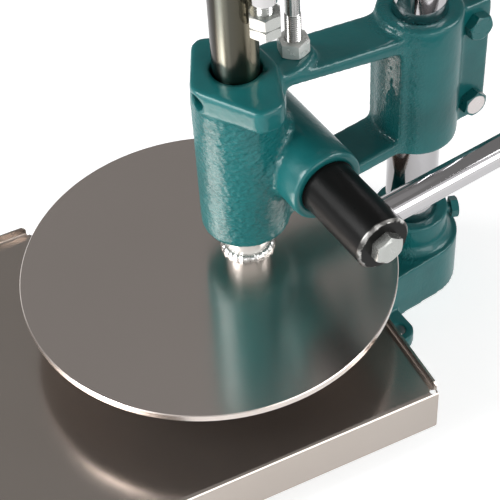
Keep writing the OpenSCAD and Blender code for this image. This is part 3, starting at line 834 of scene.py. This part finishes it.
def add_weld():
    """Bead laid in overlapping laps."""
    bm = bmesh.new()
    loops = []
    for k in range(WELD_POINTS):
        angle = 2 * math.pi * k / WELD_POINTS
        cos, sin = math.cos(angle), math.sin(angle)
        lap = WELD_LAPS * angle + LAP_WANDER * noise.noise(Vector((cos, sin, 2)) * 2.2)
        ripple = LAP_WIDER * math.sin(lap) + WELD_UNEVEN * noise.noise(Vector((cos, sin, 0)) * 3.1)
        r = WELD_R + ripple
        loop = []
        for j in range(WELD_SIDES):
            side = 2 * math.pi * j / WELD_SIDES
            wide = RAM_R + WELD_OUT + r * math.cos(side) * WELD_FLAT
            high = DISC_TOP + WELD_UP + r * math.sin(side) + LAP_HIGHER * math.sin(lap + side)
            loop.append(bm.verts.new((RAM_X + wide * cos, wide * sin, high)))
        loops.append(loop)
    join_loops(bm, loops + [loops[0]])
    new_piece("neck_bead", finished(bm, "neck_bead"), weld_metal("weld_metal"), "ram_group",
              "neck_weld")


# knob at the lever's end, on the lever's own axis

KNOB_FOOT = 0.282
KNOB_R = 0.019
KNOB_MID = 0.016
KNOB_BORE = 0.0255
KNOB_EASE = 0.0004

# height of the mould's line, and half its width and the flat at the top as angles
KNOB_LINE = 0.00012
KNOB_LINE_HALF = 0.03
KNOB_POLE = 0.02
KNOB_RINGS = 150
KNOB_TURNS = 72


def knob_rings():
    """Ball with a blind bore, a flat foot and the fine line of its mould."""
    bore = M10.radius + FIT
    foot = math.sqrt(KNOB_R ** 2 - KNOB_MID ** 2) - KNOB_EASE
    rings = [ring(KNOB_BORE, bore), ring(KNOB_EASE, bore), ring(0, bore + KNOB_EASE), ring(0, foot)]
    first = -math.asin(KNOB_MID / KNOB_R)
    last = math.pi / 2 - KNOB_POLE
    for i in range(1, KNOB_RINGS + 1):
        angle = first + (last - first) * i / KNOB_RINGS
        r = KNOB_R + KNOB_LINE * max(0.0, 1 - abs(angle) / KNOB_LINE_HALF)
        rings.append(ring(KNOB_MID + r * math.sin(angle), r * math.cos(angle)))
    return rings


def add_knob():
    rise = math.radians(LEVER_RISE_DEGREES)
    foot = (PINION_X + KNOB_FOOT * math.cos(rise), -LEVER_Y, PINION_Z + KNOB_FOOT * math.sin(rise))
    fastener("knob_moulded", "lever_knob", [rod(knob_rings(), turns=KNOB_TURNS)], [foot],
             plain("knob_plastic", (0.01, 0.01, 0.01), rough=0.15), "lever_group",
             tilt=Matrix.Rotation(math.radians(90 - LEVER_RISE_DEGREES), 4, "Y"))


# CAD parts that are shown as they are

def dress_all():
    dress(teal_paint("painted_bolt", texture=0.4), "bracket_screw")
    dress(tray_sheet(), "tray")
    dress(plate_steel(), "press_disc")
    dress(ground_bar("ram_steel"), "ram")
    dress(bright_bar("chrome_bar"), "column", "lever")
    dress(zinc("zinc"), "tray_washers", "foot_screws", "foot_nuts", "stud_top_washer",
          "crosshead_washer", "crosshead_bolt", "pinion_washer", "pinion_screw")
    dress(clamp_bolt("clamp_bolt"), "head_bolts")
    dress(boss_finish("black_oxide"), "pinion_shaft")
    dress(plain("black_screw", (0.004, 0.004, 0.004), rough=0.32, gloss=0.1), "grub_screw")
    dress(plain("foot_rubber", (0.02, 0.02, 0.02), rough=0.7), "feet")


# studio: pale floor and world, a gray wall and ceiling that only metal and gloss see, and lamps

FLOOR_REACH = 6.0
FLOOR_GLOW = 0.62
WORLD_LIGHT = 0.22
WORLD_SEEN = 1.0
WALL_R = 2.6
WALL_LOW = 0.25
WALL_HIGH = 6.5
WALL_FROM_DEGREES = -35
WALL_SPAN_DEGREES = 190
WALL_PANELS = 24
WALL_GRAY = (0.30, 0.295, 0.29, 1)
CEILING_REACH = 5.5
SQUARE = ((-1, -1), (1, -1), (1, 1), (-1, 1))

# name, place, what it points at, width and height, watts, and whether it lights matt surfaces
LAMPS = (
    ("key", (-1.40, 0.27, 1.1), (-0.13, 0, 0.19), (0.9, 0.7), 15, True),
    ("glint", (-1.46, 0.28, 1.15), (-0.13, 0, 0.19), (1.2, 0.9), 34, False),
    ("rim", (1.1, -0.75, 1.15), (-0.1, 0, 0.15), (0.9, 0.9), 24, False),
    ("side", (-1.7, -0.15, 0.4), (-0.1, 0, 0.15), (0.5, 0.8), 10, True),
    ("front", (0.3, -2.25, 0.85), (-0.1, 0, 0.15), (1.6, 1.1), 24, True),
    ("top", (-0.1, 0.1, 2.2), (-0.1, 0, 0.1), (1.6, 1.6), 1, True),
)


def seen_directly(tree):
    """1 for camera, glossy and transmission rays, 0 for the light that falls on the object."""
    rays = tree.nodes.new("ShaderNodeLightPath").outputs
    seen = rays["Is Camera Ray"]
    for name in ("Is Glossy Ray", "Is Transmission Ray"):
        larger = tree.nodes.new("ShaderNodeMath")
        larger.operation = "MAXIMUM"
        tree.links.new(seen, larger.inputs[0])
        tree.links.new(rays[name], larger.inputs[1])
        seen = larger.outputs[0]
    return seen


def add_floor():
    mesh = bpy.data.meshes.new("floor")
    mesh.from_pydata([(x * FLOOR_REACH, y * FLOOR_REACH, 0) for x, y in SQUARE], [], [(0, 1, 2, 3)])
    look = Shader("floor_paper")
    look.set(Base_Color=(0.86, 0.86, 0.86, 1), Roughness=0.9, Emission_Color=(1, 1, 1, 1),
             Emission_Strength=look.math("MULTIPLY", seen_directly(look.tree), FLOOR_GLOW))
    mesh.materials.append(look.material)
    floor = linked("floor", mesh)


def add_world():
    world = bpy.data.worlds.new("studio")
    scene.world = world
    world.use_nodes = True
    tree = world.node_tree
    level = tree.nodes.new("ShaderNodeMapRange")
    tree.links.new(seen_directly(tree), level.inputs["Value"])
    level.inputs["To Min"].default_value = WORLD_LIGHT
    level.inputs["To Max"].default_value = WORLD_SEEN
    back = tree.nodes["Background"]
    back.inputs["Color"].default_value = (1, 1, 1, 1)
    tree.links.new(level.outputs["Result"], back.inputs["Strength"])


def add_wall():
    """Curved wall behind the object, and the ceiling."""
    bm = bmesh.new()
    angles = [math.radians(WALL_FROM_DEGREES + WALL_SPAN_DEGREES * i / WALL_PANELS)
              for i in range(WALL_PANELS + 1)]
    low, high = ([bm.verts.new((WALL_R * math.cos(a), WALL_R * math.sin(a), z)) for a in angles]
                 for z in (WALL_LOW, WALL_HIGH))
    for i in range(WALL_PANELS):
        bm.faces.new((low[i], low[i + 1], high[i + 1], high[i]))
    bm.faces.new([bm.verts.new((x * CEILING_REACH, y * CEILING_REACH, WALL_HIGH)) for x, y in SQUARE])
    mesh = bpy.data.meshes.new("studio_wall")
    bm.to_mesh(mesh)
    bm.free()
    look = Shader("wall_gray")
    glow = look.node("ShaderNodeEmission", Color=WALL_GRAY, Strength=1.0)
    look.tree.links.new(glow.outputs[0], look.out.inputs["Surface"])
    mesh.materials.append(look.material)
    wall = linked("studio_wall", mesh)
    wall.visible_camera = False
    wall.visible_diffuse = False
    wall.visible_shadow = False


def add_lamp(name, at, aim, size, watts, lights_matt):
    data = bpy.data.lights.new(name, "AREA")
    data.shape = "RECTANGLE"
    data.size, data.size_y = size
    data.energy = watts
    lamp = linked(name, data)
    lamp.location = at
    lamp.rotation_euler = (Vector(aim) - Vector(at)).to_track_quat("-Z", "Y").to_euler()
    lamp.visible_camera = False
    lamp.visible_diffuse = lights_matt


def add_studio():
    add_floor()
    add_world()
    add_wall()
    for lamp in LAMPS:
        add_lamp(*lamp)
    scene.view_settings.view_transform = "Standard"


add_camera()
dress_all()
add_castings()
add_fasteners()
add_weld()
add_knob()
add_studio()
